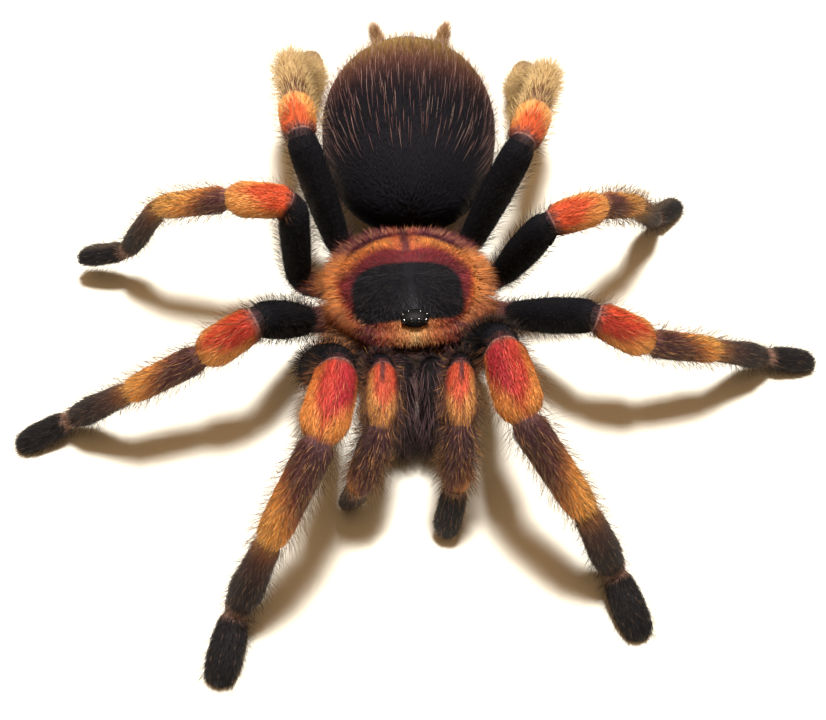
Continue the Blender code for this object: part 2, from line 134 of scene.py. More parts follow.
def tube_line(path, marks, wide, high, ease):
    """A bent tube as a table of stations: the path and its level across vectors (run x up), averaged over a bell
    of this ease, and the half widths and heights at the marks, averaged over a bell a third as long."""
    runs = np.diff(path, axis=0)
    knots = distances(path)
    across = unit(np.cross(unit(runs), UP))
    for number in range(1, len(across)):
        if across[number] @ across[number - 1] < 0:
            across[number] *= -1
    at = np.linspace(0, knots[-1], int(knots[-1] / STEP) + 2)
    run = np.clip(np.searchsorted(knots, at, "right") - 1, 0, len(runs) - 1)
    ways = np.column_stack([np.interp(at, knots, path[:, axis]) for axis in range(3)] + [across[run]])
    sizes = np.column_stack([np.interp(at, marks, wide), np.interp(at, marks, high)])
    eased = []
    for columns, half in ((ways, max(1, int(ease / STEP))), (sizes, max(1, int(ease / 3 / STEP)))):
        bell = np.hanning(2 * half + 3)[1:-1]
        wider = np.pad(columns, ((half, half), (0, 0)), "reflect", reflect_type="odd")
        eased.append(np.stack([np.convolve(column, bell / bell.sum(), "valid") for column in wider.T], 1))
    table = np.column_stack(eased)
    tangent = unit(np.gradient(table[:, :3], axis=0))
    across = table[:, 3:6] - tangent * np.sum(table[:, 3:6] * tangent, 1, keepdims=True)
    across = unit(across)
    table = np.column_stack([table[:, :3], across, np.cross(across, tangent), table[:, 6:8]])
    return SimpleNamespace(knots=knots, reach=knots[-1], at=at, table=table)


def round_off(line, start, end):
    """Both half sizes, times the root of 1 - (share of the way into either end) squared."""
    into = np.maximum((start - line.at) / max(start, 1e-9), (line.at - line.reach + end) / max(end, 1e-9))
    line.table[:, 9:] *= np.sqrt(1 - np.clip(into, 0, 0.999) ** 2)[:, None]
    return line


def tube_shape(line):
    """At u of a turn round and v of the way along: centre + across w cos 2 pi u + above h sin 2 pi u."""
    table, last = line.table, len(line.table) - 1

    def shape(u, v):
        place = np.clip(v, 0, 1) * last
        low = np.minimum(place.astype(int), last - 1)
        part = (place - low)[..., None]
        row = table[low] * (1 - part) + table[low + 1] * part
        turn = 2 * np.pi * u
        point = row[..., :3] + row[..., 3:6] * (row[..., 9] * np.cos(turn))[..., None]
        point = point + row[..., 6:9] * (row[..., 10] * np.sin(turn))[..., None]
        point[..., 2] = np.maximum(point[..., 2], TOE_FLOOR)
        return point

    return shape


def limb_line(side, limb):
    """The limb's tube from inside the breastplate to the toe, less the coat's depth, pinched by a bell at each
    joint and rounded at the toe. Labels number the segments: trochanter 0, femur 1, up to tarsus 5."""
    joints = limb_joints(side, limb)
    inner = np.array((joints[0][0] * INNER_END[0], joints[0][1] * INNER_END[1], COXA_Z))
    path = np.vstack([inner, joints])
    knots = distances(path)
    runs = np.diff(knots)
    girth = GIRTH[limb]
    rows = [(0, COXA[0] * 0.7, COXA[1] * 0.7), (knots[1] / 2, COXA[0] * girth**0.5, COXA[1])]
    for number, name in enumerate(PALP_SEGMENTS if limb == "palp" else SEGMENTS, 1):
        fuller = COAT_DEPTH - 0.3 if "tarsus" in name else 0
        rows += [(knots[number] + share * runs[number], w * girth + fuller, h * girth + fuller)
                 for share, w, h in PROFILES[name]]
    marks, wide, high = np.array(rows).T
    line = tube_line(path, marks, wide - COAT_DEPTH, high - COAT_DEPTH, LIMB_EASE)
    for joint, pinch in zip(knots[2:-1], PINCHES):
        line.table[:, 9:] *= (1 - pinch * np.exp(-(((line.at - joint) / PINCH_WIDTH) ** 2)))[:, None]
    line.labels = np.array((-1, 0, 1, 2, 3, 5) if limb == "palp" else (-1, 0, 1, 2, 3, 4, 5))
    line.red = REDNESS[limb]
    line.out = SIDES[side]
    return round_off(line, 0, TOE_ROUND)


def along_limb(line, at):
    """The segment's label plus the share of the way along that segment."""
    segment = np.clip(np.searchsorted(line.knots, at, "right") - 1, 0, len(line.labels) - 1)
    start, end = line.knots[segment], line.knots[segment + 1]
    return line.labels[segment] + np.clip((at - start) / (end - start), 0, 0.999)


LIMBS = {key: limb_line(*key) for key in STANCE}

# ---
# The trunk. The hind body is a leathery egg on a narrow waist, with two finger-like spinnerets at its end. The
# jaws are two stout, swollen lobes under the front of the head, and the breastplate lies between the hips.
ABDOMEN_CENTRE = np.array([1.4, 27, 12.5])
ABDOMEN_SIZE = np.array([13, 16.4, 11.3]) - 0.25
STERNUM_SIZE = np.array([6.2, 8.6, 2.2]) - 0.2
WALL_SIZE, WALL_CENTRE = (9, 9.4, 2.3), (0, -0.6, 8.6)
BODY_YAW, NOSE_UP = 2, 7  # degrees
EGG_BLUNTNESS, JAW_MIDDLE = 2.4, 0.25
SPINNERET_ROOT, SPINNERET_REACH = (2.7, 41, 9.2), 9.2
JAW_STATIONS = (  # centre for the left jaw, half width, half height
    (2.3, -11.5, 8.9, 1.6, 1.9),
    (2.4, -12.8, 9.2, 1.95, 2.7),
    (2.45, -15.8, 8.8, 2.05, 3.1),
    (2.6, -18.6, 6.8, 2.1, 2.9),
    (2.5, -19.9, 4.4, 1.7, 1.9),
)


def spin(axis, degrees):
    """The matrix of a turn about x, y or z, which are axis 0, 1 or 2: cos and sin between the other two."""
    first, second, angle = (axis + 1) % 3, (axis + 2) % 3, math.radians(degrees)
    matrix = np.eye(3)
    matrix[first, first] = matrix[second, second] = math.cos(angle)
    matrix[first, second], matrix[second, first] = -math.sin(angle), math.sin(angle)
    return matrix


def turned(points, about_x, about_z, centre):
    """Points turned about x and then about z, by degrees, and moved to the centre."""
    return points @ (spin(2, about_z) @ spin(0, about_x)).T + centre


def unit_ball(u, v, pole=0.004):
    """(sin pi v cos 2 pi u, -cos pi v, sin pi v sin 2 pi u), so the poles are fore and aft."""
    turn, down = 2 * np.pi * u, np.pi * np.clip(v, pole, 1 - pole)
    return np.stack([np.sin(down) * np.cos(turn), -np.cos(down), np.sin(down) * np.sin(turn)], -1)


def egg(u, v):
    """A ball that swells by 1 + 0.05 y, with a flatter belly. In front of its middle the radius is the 2.4th root
    of 1 - y to the 2.4, which is blunter. The poles are at the waist and the spinnerets."""
    x, y, z = np.moveaxis(unit_ball(u, v), -1, 0)
    blunter = (1 - np.abs(y) ** EGG_BLUNTNESS) ** (1 / EGG_BLUNTNESS) / np.sqrt(1 - y * y)
    full = (1 + 0.05 * y) * np.where(y < 0, blunter, 1)
    z = z * np.where(z < 0, 0.9, 1)
    local = np.stack([x * full, y, z * full], -1) * ABDOMEN_SIZE
    return turned(local, 3, -3, ABDOMEN_CENTRE)


def breastplate(u, v):
    """A flat oval cushion between the hips."""
    return unit_ball(u, v) * STERNUM_SIZE + (0, 0, COXA_Z - 0.6)


def side_wall(u, v):
    """The soft wall between the hips and the shield: a cushion just under the shield's rim."""
    return turned(unit_ball(u, v) * WALL_SIZE, -NOSE_UP, BODY_YAW, WALL_CENTRE)


def jaw_line(out):
    """One jaw as a tube through its stations, rounded at both ends."""
    rows = np.array(JAW_STATIONS)
    path = np.column_stack([JAW_MIDDLE + out * (rows[:, 0] - JAW_MIDDLE), rows[:, 1:3]])
    path = np.vstack([path, path[-1] + (0, 0.1, -1)])
    wide, high = np.append(rows[:, 3], 1.3), np.append(rows[:, 4], 1.5)
    return round_off(tube_line(path, distances(path), wide - 0.3, high - 0.3, 1.5), 1.2, 1.4)


def spinneret_line(out):
    """Three joints of a finger that bends up by 12 to 36 degrees as it reaches 9 mm back."""
    share = np.linspace(0, 1, 9)
    bend = np.radians(12 + 24 * share)
    way = np.stack([np.full(9, 0.3 * out), np.cos(bend), np.sin(bend)], 1)
    path = np.array(SPINNERET_ROOT) + (3 * out, 0, 0) + unit(way) * (share * SPINNERET_REACH)[:, None]
    marks = np.linalg.norm(path - path[0], axis=1)
    girth = np.interp(share, (0, 0.3, 0.36, 0.64, 0.7, 0.94, 1), (1.1, 1.15, 0.95, 0.95, 0.75, 0.6, 0.35)) - 0.15
    return round_off(tube_line(path, marks, girth, girth, 0.4), 0, 0.6)


WAIST = round_off(tube_line(np.array([[0, 6, 6.2], [0, 8, 6.6], [0.4, 14.5, 8.2]]), (0, 2, 9),
                            (1.3, 1.3, 1.2), (0.9, 0.9, 0.8), 1), 0, 0)
JAWS = {side: jaw_line(out) for side, out in SIDES.items()}
SPINNERETS = {side: spinneret_line(out) for side, out in SIDES.items()}

# ---
# The skin. One hide over limbs, trunk, jaws and spinnerets, horny on the limbs and leathery behind, lying under
# the coat by its depth. Its colours are the coat's own, darkened all over as painted shade under the coat: a finish
# for each stretch reads the same marks on both.


def closed_skin(shape, columns, places):
    """Rings of columns at places along a shape, joined by quads, and a fan over each end ring."""
    u, v = np.meshgrid(np.arange(columns) / columns, np.asarray(places, float))
    points = shape(u, v).reshape(-1, 3)
    points = np.vstack([points, points[:columns].mean(0), points[-columns:].mean(0)])
    rows = len(places)
    i, j = (grid.ravel() for grid in np.meshgrid(np.arange(rows - 1), np.arange(columns), indexing="ij"))
    k = (j + 1) % columns
    quads = np.stack([i * columns + j, (i + 1) * columns + j, (i + 1) * columns + k, i * columns + k], 1)
    j = np.arange(columns)
    k = (j + 1) % columns
    last = (rows - 1) * columns
    fans = np.vstack([np.stack([np.full(columns, rows * columns), j, k], 1),
                      np.stack([np.full(columns, rows * columns + 1), last + k, last + j], 1)])
    return points, np.append(u.ravel(), (0.25, 0.25)), np.append(v.ravel(), (places[0], places[-1])), [quads, fans]


def build(name, points, faces, finishes, finish_of_face=None, bake=None, **marks):
    """A smooth piece from whole arrays: points in millimetres, faces by corner number, and a number or arrow for
    each point under each mark's name."""
    corners = np.concatenate([face.ravel() for face in faces]).astype(np.int32)
    sizes = np.concatenate([np.full(len(face), face.shape[1]) for face in faces])
    mesh = bpy.data.meshes.new(name)
    mesh.vertices.add(len(points))
    mesh.vertices.foreach_set("co", ((points + ON_FLOOR) * MM).astype(np.float32).ravel())
    mesh.loops.add(len(corners))
    mesh.loops.foreach_set("vertex_index", corners)
    mesh.polygons.add(len(sizes))
    mesh.polygons.foreach_set("loop_start", np.concatenate([[0], np.cumsum(sizes)[:-1]]).astype(np.int32))
    for finish in finishes:
        mesh.materials.append(finish)
    if finish_of_face is not None:
        mesh.polygons.foreach_set("material_index", finish_of_face.astype(np.int32))
    for mark, values in marks.items():
        kind = "FLOAT" if values.ndim == 1 else "FLOAT_VECTOR"
        made = mesh.attributes.new(mark, kind, "POINT")
        made.data.foreach_set("value" if kind == "FLOAT" else "vector", values.astype(np.float32).ravel())
    if bake is not None:
        mesh.uv_layers.new(name="OFBake").uv.foreach_set("vector", bake[corners].astype(np.float32).ravel())
    mesh.update(calc_edges=True)
    mesh.shade_smooth()
    piece = bpy.data.objects.new(name, mesh)
    bpy.context.scene.collection.objects.link(piece)
    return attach(piece, "root")


def sign(operation):
    """A method that adds one Math node, whose first input is the mask itself."""
    return lambda mask, second=0, third=0: place(mask.tree, "Math", {0: mask, 1: second, 2: third},
                                                 operation=operation)


class Mask:
    """A number or colour that changes over a surface: one output of a node. Signs between masks and plain numbers
    work them out with Math nodes, and each verb adds the node of its own formula."""

    __add__, __sub__, __mul__, __truediv__ = sign("ADD"), sign("SUBTRACT"), sign("MULTIPLY"), sign("DIVIDE")
    __pow__, __abs__, most, over = sign("POWER"), sign("ABSOLUTE"), sign("MAXIMUM"), sign("GREATER_THAN")
    near, times_plus = sign("COMPARE"), sign("MULTIPLY_ADD")

    def __init__(self, socket):
        self.socket, self.tree = socket, socket.id_data

    def __rsub__(self, first):
        """A plain number less the mask."""
        return place(self.tree, "Math", {0: first, 1: self}, operation="SUBTRACT")

    def rise(self, low, high, start=0, end=1):
        """An S-shaped rise from start to end while the mask goes from low to high."""
        inputs = {"Value": self, "From Min": low, "From Max": high, "To Min": start, "To Max": end}
        return place(self.tree, "MapRange", inputs, interpolation_type="SMOOTHSTEP")

    def between(self, first, second):
        """The first colour where the mask is 0, and the second where it is 1."""
        return place(self.tree, "Mix", {0: self, 6: first, 7: second}, 2, data_type="RGBA")

    def bands(self, *stops):
        """Colours read off along a mask. Each stop is a place, red, green and blue, all in thousandths."""
        ramp = place(self.tree, "ValToRGB", {"Fac": self})
        elements = ramp.socket.node.color_ramp.elements
        while len(elements) < len(stops):
            elements.new(0.5)
        for element, (position, *colour) in zip(elements, stops):
            element.position, element.color = position / 1000, [part / 1000 for part in colour] + [1]
        return ramp


def feed(node, inputs):
    """Each of a node's inputs gets a mask, a plain value, or a colour of three parts."""
    for name, value in inputs.items():
        if isinstance(value, Mask):
            node.id_data.links.new(value.socket, node.inputs[name])
        else:
            node.inputs[name].default_value = (*value, 1) if isinstance(value, tuple) else value


def place(tree, kind, inputs=None, output=0, **settings):
    """One output of a new node with these settings and inputs."""
    node = tree.nodes.new("ShaderNode" + kind)
    for setting, value in settings.items():
        setattr(node, setting, value)
    feed(node, inputs or {})
    return Mask(node.outputs[output])


def coat_tone_group():
    """A colour is darkened at the root. This is painted shade deep in the coat: it is full on the bare skin and fades
    out by halfway up each hair. The colour is varied by the hair's tint and by streaks along the coat, and a share of
    the hairs turn to the strand colour towards their tips."""
    tree = bpy.data.node_groups.new("coat_tone", "ShaderNodeTree")
    for name, kind in (("Colour", "Color"), ("Strand", "Color"), ("Comb", "Vector"), ("Tint", "Float"),
                       ("Tip", "Float"), ("Streaks", "Float"), ("Strands", "Float"), ("RootShade", "Float")):
        tree.interface.new_socket(name, in_out="INPUT", socket_type="NodeSocket" + kind)
    tree.interface.new_socket("Colour", in_out="OUTPUT", socket_type="NodeSocketColor")
    given = {socket.name: Mask(socket) for socket in tree.nodes.new("NodeGroupInput").outputs}
    noise = place(tree, "TexNoise", {"Vector": given["Comb"], "Scale": 1, "Detail": 2})
    streak = (noise - 0.5).times_plus(given["Streaks"], 1)
    tint = (given["Tint"] - 0.5).times_plus(0.25, 1)
    # Painted shade deep in the coat: the colour falls to the root share on the skin and at each hair's root.
    root = given["Tip"].rise(0, 0.55).times_plus(1 - given["RootShade"], given["RootShade"])
    toned = place(tree, "VectorMath", {0: given["Colour"], "Scale": streak * tint * root}, operation="SCALE")
    odd = given["Tint"].over(1 - given["Strands"]) * given["Tip"].rise(0.1, 0.6)
    feed(tree.nodes.new("NodeGroupOutput"), {0: odd.between(toned, given["Strand"])})
    return tree


COAT_TONE = coat_tone_group()


def bare_finish(name):
    """A new material, its node tree and its shader."""
    made = bpy.data.materials.new(name)
    made.use_nodes = True
    return made, made.node_tree, made.node_tree.nodes["Principled BSDF"]


def hair_finish(name, colouring, strand=(0.3, 0.2, 0.15), streaks=0.8, root=0.4, rough=0.55, gloss=0.35):
    """A finish for hide and hair alike. The colouring is a function from the marks to a colour, and the root is the
    share of it left under the painted shade at the skin and at the hair roots.
    """
    made, tree, shader = bare_finish(name)
    marks = SimpleNamespace(**{mark: place(tree, "Attribute", output="Fac", attribute_name=mark)
                               for mark in ("along", "top", "side", "red", "tint", "tip")})
    comb = place(tree, "Attribute", output="Vector", attribute_name="comb")
    toned = place(tree, "Group", {"Colour": colouring(marks), "Strand": strand, "Comb": comb, "Tint": marks.tint,
                                  "Tip": marks.tip, "Streaks": streaks, "Strands": 0.05, "RootShade": root},
                  node_tree=COAT_TONE)
    ridges = place(tree, "TexNoise", {"Vector": comb, "Scale": 3, "Detail": 3})
    bump = place(tree, "Bump", {"Strength": 0.6, "Distance": 0.0002, "Height": ridges})
    feed(shader, {"Base Color": toned, "Normal": bump, "Roughness": rough, "Specular IOR Level": gloss})
    return made


def palp_only(m):
    """1 on the palps, by their redness, and 0 on the legs."""
    return m.red.near(REDNESS["palp"], 0.05)


def last_legs(m):
    """1 on the fourth legs, which have no red, and 0 on the others."""
    return m.red.rise(0.3, 0.1)


def femur_colours(m):
    """Gold hairs and then bare plum brown at the hip, and jet black velvet all over the femur. Beneath the hip it
    is dull brown."""
    share = m.along / 2
    above = share.bands((0, 420, 140, 45), (120, 300, 100, 50), (200, 200, 80, 70), (440, 170, 70, 70),
                        (520, 10, 10, 13), (1000, 9, 9, 12))
    hip = share.rise(0.5, 0.4) * m.top.rise(0.2, -0.3)
    return hip.between(above, (0.05, 0.032, 0.035))


def knee_colours(m):
    """A thin pale rim in a dark band where the knee starts, a flame down its back, rose red on the side
    towards the face and orange on the other, and gold on the flanks and at the far end. The front legs are the
    reddest and the last end in cream. The palps' flames have a short dark line in their middle."""
    share, aside = m.along - 2, abs(m.side - 0.15)
    gold = share.bands((0, 20, 10, 11), (35, 40, 14, 16), (50, 300, 130, 100), (65, 140, 35, 30),
                       (110, 620, 170, 42), (400, 800, 290, 65), (800, 880, 360, 90), (965, 880, 360, 100),
                       (1000, 200, 60, 45))
    yellow = m.red.rise(0.95, 0.8) * share.rise(0.12, 0.35, 0, 0.45)
    gold = yellow.between(gold, (1, 0.52, 0.15))
    gold = (last_legs(m) * share.rise(0.72, 0.9)).between(gold, (0.82, 0.52, 0.25))
    hot = m.red.between((0.7, 0.12, 0.035), (0.76, 0.085, 0.038))
    hot = m.red.rise(0.8, 0.95).between(hot, (0.53, 0.052, 0.034))
    rose = m.side.rise(0.05, 0.5) * m.red.rise(0.5, 1, 0, 0.85)
    hot = rose.between(hot, (0.42, 0.026, 0.038))
    reach = aside.times_plus(-0.45, m.red.times_plus(0.22, 0.92))
    flame = share.rise(reach, reach - 0.4) * m.top.rise(-0.05, 0.45) * share.rise(0.05, 0.1) * m.side.rise(-0.8, -0.3)
    warm = flame.between(gold, hot)
    notch = share.rise(0.24, 0.08) * aside.rise(0.25, 0.05, 0, 0.5)
    line = share.rise(0.5, 0.2) * abs(m.side).rise(0.25, 0.08)
    notch = notch.most(line.most(abs(m.side).rise(0.75, 0.95, 0, 0.8)) * palp_only(m))
    warm = (notch * 0.9).between(warm, (0.07, 0.024, 0.028))
    warm = (palp_only(m) * 0.32).between(warm, (0.1, 0.03, 0.03))
    return m.top.rise(-0.25, -0.8).between(warm, (0.1, 0.035, 0.03))


def shin_colours(m):
    """Dark maroon brown streaked with red, then golden orange over the last third, sooner on the outer flank and on
    the hinder legs. The last legs are tan, and the palps' are dark to the end."""
    share = m.along - 3
    early = m.side.times_plus(-0.22, share) + m.red.rise(0.9, 0.3, 0, 0.3)
    front = palp_only(m).times_plus(-0.66, early).bands(
        (0, 100, 45, 50), (360, 160, 55, 52), (540, 580, 200, 60), (680, 1000, 460, 105),
        (1000, 1000, 550, 145))
    front = share.rise(0.95, 1).between(front, (0.12, 0.05, 0.04))
    pale = share.bands((0, 80, 30, 30), (150, 160, 70, 45), (400, 460, 250, 100), (750, 700, 470, 210),
                       (1000, 780, 570, 300))
    under = m.top.rise(-0.25, -0.8) * m.red.rise(0.1, 0.3)
    return under.between(last_legs(m).between(front, pale), (0.05, 0.028, 0.028))


def foot_colours(m):
    """Dark brown on the metatarsus with tan streaks where it starts and a dull pink ring where it ends, and a
    sooty tarsus with a faint grey bloom on its back. The third metatarsi are gold behind, and the last ones cream."""
    share = (m.along - 4) / 2
    dark = share.bands((0, 340, 120, 50), (80, 100, 45, 38), (260, 26, 18, 20), (420, 36, 24, 24),
                       (465, 580, 350, 260), (505, 500, 280, 200), (550, 16, 14, 16), (980, 13, 12, 14))
    gold = share.bands((0, 760, 380, 120), (200, 460, 240, 90), (460, 280, 170, 80), (540, 110, 75, 50),
                       (1000, 70, 55, 45))
    tan = share.bands((0, 800, 560, 270), (400, 800, 560, 270), (600, 620, 420, 190), (1000, 300, 190, 110))
    third = m.red.rise(0.55, 0.4) * m.side.rise(0.3, -0.4)
    under = m.top.rise(0, -0.7) * m.red.rise(0.3, 0.7, 0.35, 1)
    over = under.between(third.between(dark, gold), (0.028, 0.022, 0.024))
    return last_legs(m).between(over, tan)


def abdomen_colours(m):
    """Black velvet, browner on the flanks, with dark brown round the spinnerets. The olive tan band behind is a
    painted glow of light shining through the rear hairs.
    """
    rear = m.along.bands((0, 12, 12, 16), (300, 16, 15, 19), (450, 13, 12, 15), (520, 26, 16, 18),
                         (600, 120, 50, 34), (670, 260, 140, 50), (740, 420, 280, 90), (790, 380, 240, 90),
                         (860, 160, 90, 45), (1000, 50, 30, 25))
    return (m.top.rise(0.6, -0.3) * m.along.rise(0.2, 0.42)).between(rear, (0.1, 0.06, 0.05))


def jaw_colours(m):
    """Sooty plum, nearly black where the jaws start and end."""
    return m.along.bands((0, 12, 10, 11), (350, 24, 17, 20), (750, 28, 18, 20), (1000, 15, 10, 11))


def under_colours(m):
    """Dull dark brown beneath, with orange gold hairs above where the hips show past the shield."""
    return m.top.bands((0, 45, 30, 30), (250, 120, 45, 40), (600, 420, 140, 45), (1000, 480, 190, 60))


def spinneret_colours(m):
    """Golden tan, darker at the joints."""
    return m.along.bands((0, 50, 25, 16), (300, 120, 55, 25), (360, 60, 28, 18), (600, 170, 75, 30),
                         (1000, 300, 140, 50))


FEMUR = hair_finish("femur_velvet", femur_colours, strand=(0.06, 0.045, 0.035), streaks=0.4, root=0.7, rough=0.8,
                    gloss=0.1)
KNEE = hair_finish("knee_flame", knee_colours, strand=(0.90, 0.48, 0.16), streaks=0.6, root=0.95, gloss=0.2)
SHIN = hair_finish("shin_brown_to_gold", shin_colours, strand=(0.70, 0.34, 0.12), streaks=0.8, root=0.95, gloss=0.2)
FOOT = hair_finish("foot_soot", foot_colours, strand=(0.30, 0.18, 0.11), streaks=0.9, root=0.8, gloss=0.15)
ABDOMEN = hair_finish("abdomen_velvet", abdomen_colours, strand=(0.08, 0.05, 0.05), streaks=0.5, root=0.6,
                      rough=0.9, gloss=0.05)
JAW = hair_finish("jaw_plum", jaw_colours, strand=(0.26, 0.15, 0.15), streaks=0.7, root=0.6, gloss=0.2)
UNDER = hair_finish("underside_brown", under_colours)
SPINNERET = hair_finish("spinneret_tan", spinneret_colours, strand=(0.6, 0.42, 0.2), root=0.6)
FINISHES = (UNDER, FEMUR, KNEE, SHIN, FOOT, ABDOMEN, JAW, SPINNERET)
FINISH_OF_LABEL = np.array((0, 1, 1, 2, 3, 4, 4))  # from -1, inside the breastplate, to 5, the tarsus
FLESH = [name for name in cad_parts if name.split("_")[0] in
         ("leg1", "leg2", "leg3", "leg4", "palp", "abdomen", "jaw", "sternum", "waist", "spinneret")]
SKIN_TINT = 0.45
LIMB_COMB = 2.2


def comb_mark(u, at, girth, number):
    """A place on the coat that is stretched 5 to 1 along it, so that noise there makes streaks."""
    turn = 2 * np.pi * u
    return np.stack([np.cos(turn) * girth * 4, np.sin(turn) * girth * 4, at * 0.8 + number * 17], -1)


def place_marks(u, along, comb, tint, red, out):
    """The marks that skin and hair share. A limb's side mark is 1 towards the face, or in front, on either side."""
    turn = 2 * np.pi * u
    return {"along": along, "top": np.sin(turn), "side": out * np.cos(turn), "comb": comb, "tint": tint,
            "red": np.full(len(u), float(red))}


def skin_part(number, shape, columns, places, reach, girth, finish=0, line=None):
    """One stretch of skin: points, faces, marks and each face's finish, which on a limb follows the labels."""
    points, u, v, faces = closed_skin(shape, columns, places)
    along = along_limb(line, v * reach) if line else v
    marks = place_marks(u, along, comb_mark(u, v * reach, girth, number), np.full(len(u), SKIN_TINT),
                        line.red if line else 0, line.out if line else 1)
    labels = [np.clip(np.floor(along[face].mean(1)), -1, 5).astype(int) for face in faces]
    finishes = [FINISH_OF_LABEL[label + 1] if line else np.full(len(label), finish) for label in labels]
    return {"points": points, "faces": faces, "marks": marks, "finishes": finishes}


def skin_parts():
    """Every stretch of skin: the ten limbs, and then the trunk with its plain finishes."""
    parts = []
    for number, line in enumerate(LIMBS.values()):
        places = np.linspace(0, line.reach - TOE_ROUND, int(line.reach / 0.5))
        places = np.append(places, line.reach - TOE_ROUND + TOE_ROUND * np.sin((0.3, 0.7, 1.1, 1.4, 1.55)))
        parts.append(skin_part(number, tube_shape(line), 28, places / line.reach, line.reach, LIMB_COMB, line=line))
    trunk = [(egg, 96, 72, 12, 5), (breastplate, 40, 20, 5, 0), (side_wall, 56, 16, 8, 0),
             (tube_shape(WAIST), 24, 12, 1.3, 0)]
    trunk += [(tube_shape(JAWS[side]), 40, 44, 2.2, 6) for side in SIDES]
    trunk += [(tube_shape(SPINNERETS[side]), 20, 36, 1, 7) for side in SIDES]
    for number, (shape, columns, rows, girth, finish) in enumerate(trunk, 20):
        places = 0.5 - 0.5 * np.cos(np.pi * np.linspace(0.01, 0.99, rows)) if girth > 4 else np.linspace(0, 1, rows)
        parts.append(skin_part(number, shape, columns, places, 20, girth, finish))
    return parts


def joined(parts):
    """Parts end to end: points, each kind of face with its corner numbers moved on by the points before it, and
    marks."""
    firsts = np.cumsum([0] + [len(part["points"]) for part in parts[:-1]])
    faces = [np.concatenate([face + first for face, first in zip(kind, firsts)])
             for kind in zip(*(part["faces"] for part in parts))]
    marks = {mark: np.concatenate([part["marks"][mark] for part in parts]) for mark in parts[0]["marks"]}
    return np.concatenate([part["points"] for part in parts]), faces, marks


parts = skin_parts()
points, faces, marks = joined(parts)
finish_of_face = np.concatenate([np.concatenate(kind) for kind in zip(*(part["finishes"] for part in parts))])
skin = build("skin", points, faces, FINISHES, finish_of_face, **marks)
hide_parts(*FLESH)

# ---
# The head shield. One domed horny plate over the front of the body, higher at the head, with a pit behind its
# middle. It sits on the soft side wall and carries the eye mound.
SHIELD_CENTRE = np.array([0, -0.6, 9.9])
SHIELD_LENGTH, SHIELD_WIDTH, SHIELD_HEIGHT = 20.8, 21, 4.6
FRONT_NARROWING = 0.12
FUR_ON_SHIELD = 0.3
SHIELD_RIM = 0.8  # of v, which then goes on under the plate
SHIELD_COMB = 4.5
HEAD_RISE, HEAD_HALF_WIDTH = 0.16, 5.5
PIT_DEPTH, PIT_HALF_WIDTH, PIT_HALF_LENGTH, PIT_Y = 0.35, 1.5, 0.9, 4.6


def smooth_step(low, high, value):
    """0 below low, 1 above high, and an S-shaped rise between."""
    t = np.clip((value - low) / (high - low), 0, 1)
    return t * t * (3 - 2 * t)


def on_shield(share, u):
    """The plate's top in its own frame: an oval, squarer and narrower in front, shrunk to a share of itself, under
    a dome of height root(1 - share to the 2.6), higher at the head and dipping at the pit."""
    c, s = np.cos(2 * np.pi * u), np.sin(2 * np.pi * u)
    blunt = np.where(s > 0, 2 / 2.2, 2 / 3)
    y = np.sign(s) * np.abs(s) ** blunt
    x = np.sign(c) * np.abs(c) ** blunt * (1 - FRONT_NARROWING * smooth_step(-0.1, 1, -y))
    x, y = share * x * SHIELD_WIDTH / 2, share * y * SHIELD_LENGTH / 2
    dome = SHIELD_HEIGHT * np.sqrt(np.clip(1 - share**2.6, 0, 1))
    head = 1 + HEAD_RISE * smooth_step(-0.1, 0.6, -2 * y / SHIELD_LENGTH) * np.exp(-((x / HEAD_HALF_WIDTH) ** 2))
    pit = np.exp(-((x / PIT_HALF_WIDTH) ** 2 + ((y - PIT_Y) / PIT_HALF_LENGTH) ** 2))
    pit = PIT_DEPTH * pit * (1 - share**4)
    return x, y, dome * head - pit


def shield_top(u, v):
    """From the crown, v = 0, to the rim, v = 1, with the share as a sine so that rows crowd at the rim."""
    share = np.sin(np.pi / 2 * np.clip(v, 0.01, 1))
    x, y, z = on_shield(share * (1 - FUR_ON_SHIELD / 10.5), u)
    return turned(np.stack([x, y, z - FUR_ON_SHIELD * (1 - share)], -1), -NOSE_UP, BODY_YAW, SHIELD_CENTRE)


def shield_all(u, v):
    """The top down to v = 0.8, then back under to the middle of a flat base."""
    under = np.clip((v - SHIELD_RIM) / (1 - SHIELD_RIM), 0, 1)[..., None]
    top = shield_top(u, np.minimum(v / SHIELD_RIM, 1))
    middle = turned(np.zeros(3), -NOSE_UP, BODY_YAW, SHIELD_CENTRE)
    return top * (1 - under * 0.98) + middle * under * 0.98


def shield_marks(u, share):
    """Along is the share of the way to the rim. Side and top are x and y over the half width and half length."""
    x, y, z = on_shield(share, u)
    return {"along": share, "side": 2 * x / SHIELD_WIDTH, "top": 2 * y / SHIELD_LENGTH}


